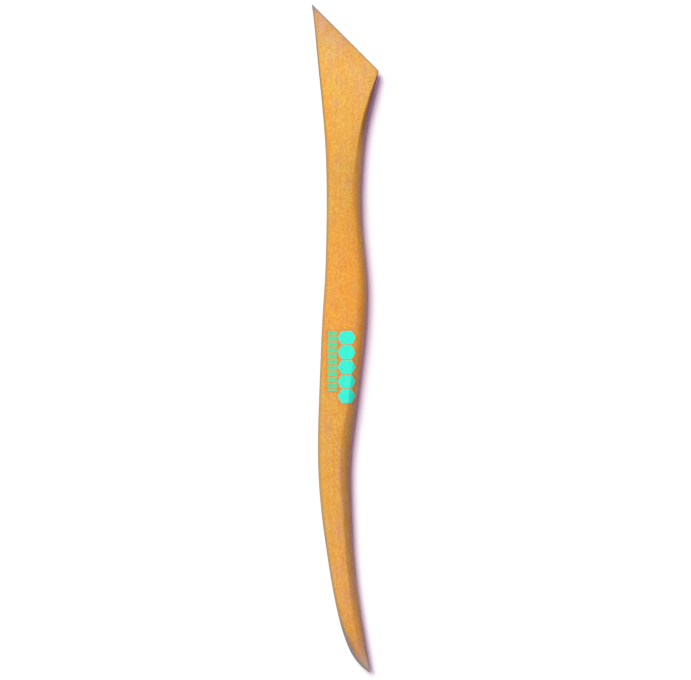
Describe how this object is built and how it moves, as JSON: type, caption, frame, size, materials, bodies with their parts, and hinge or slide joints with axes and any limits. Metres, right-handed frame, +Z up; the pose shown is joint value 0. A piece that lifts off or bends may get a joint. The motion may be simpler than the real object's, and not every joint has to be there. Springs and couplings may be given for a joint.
{
  "type": "clay modelling tool",
  "caption": "Double-ended wooden modelling tool: flat oblique knife at one end, rounded handle, curved tapering claw blade at the other, with a printed band.",
  "frame": {"origin": "on the surface the tool lies on, under the middle of its bounding box", "axes": "+Y along the tool towards the knife end, +X across it towards the knife's heel, +Z up out of the printed front"},
  "size_m": [0.02, 0.2, 0.0081],
  "materials": {
    "varnished_wood": "close-grained boxwood, sanded and sealed with a thin satin varnish",
    "print_ink": "thin turquoise stamping ink, slightly worn along the grain"
  },
  "bodies": {
    "root": {"wooden_body": "varnished_wood", "printed_band": "print_ink"}
  },
  "joints": []
}
